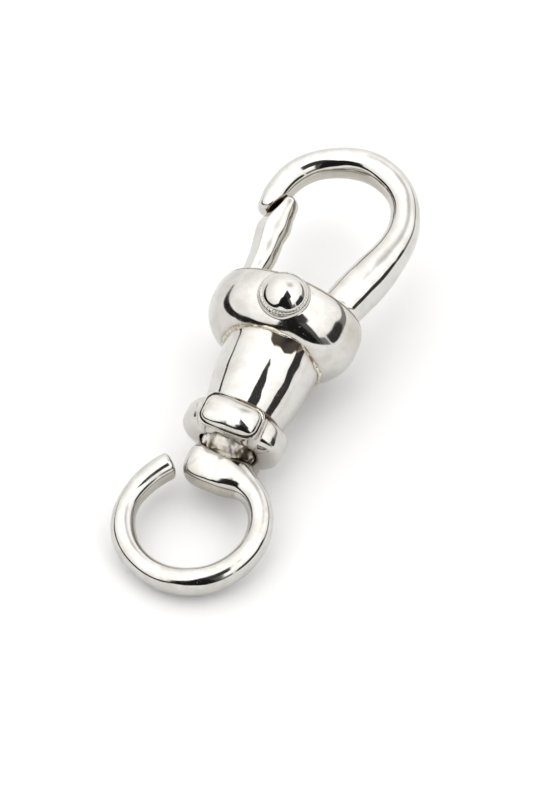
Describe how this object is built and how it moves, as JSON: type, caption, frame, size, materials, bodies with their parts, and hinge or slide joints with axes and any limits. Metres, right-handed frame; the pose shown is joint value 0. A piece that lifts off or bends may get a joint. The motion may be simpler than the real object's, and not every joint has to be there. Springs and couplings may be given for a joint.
{
  "type": "swivel snap hook",
  "caption": "Polished swivel snap hook with a sprung gate pivoted in an oval head, a tapered neck, a lobed collar and an open ring that turns freely for a cord or chain.",
  "frame": {"origin": "centre of the swivel ring's eye, at mid thickness", "axes": "+Y along the swivel axis from the ring towards the hook, +Z along the gate rivet's axis out of the face with the ball head, +X to the side of the hook's shank"},
  "size_m": [0.02, 0.0644, 0.017],
  "materials": {
    "nickel": "mirror polished nickel plate with fine pits and swirl marks",
    "dark_nickel": "beaded nickel with tarnish between the beads",
    "braze": "rough plated braze bead with tarnish",
    "bronze": "machined bronze",
    "spring_steel": "drawn spring wire",
    "steel": "turned steel"
  },
  "bodies": {
    "root": {"head": "nickel", "hook": "nickel", "hook_braze": "braze", "gate_rivet": "nickel", "rivet_rings": "dark_nickel", "gate_spring": "spring_steel", "neck_barrel": "nickel", "neck_braze": "braze", "neck_plug": "bronze", "collar": "nickel", "collar_pads": "nickel", "swivel_bush": "bronze"},
    "gate": {"gate": "nickel", "gate_bush": "bronze"},
    "swivel": {"swivel_ring": "nickel", "stem_braze": "braze", "swivel_stem": "steel", "swivel_washer": "spring_steel"}
  },
  "joints": [
    {"name": "gate_hinge", "type": "hinge", "parent": "root", "child": "gate", "pos_m": [-0.00045, 0.02846, 0], "axis": [0, 0, -1], "range_deg": [0, 30], "stiffness_Nm_per_rad": 0.004, "deforming": ["gate_spring"]},
    {"name": "swivel", "type": "hinge", "parent": "root", "child": "swivel", "pos_m": [0, 0.012, 0], "axis": [0, 1, 0], "continuous": true}
  ]
}
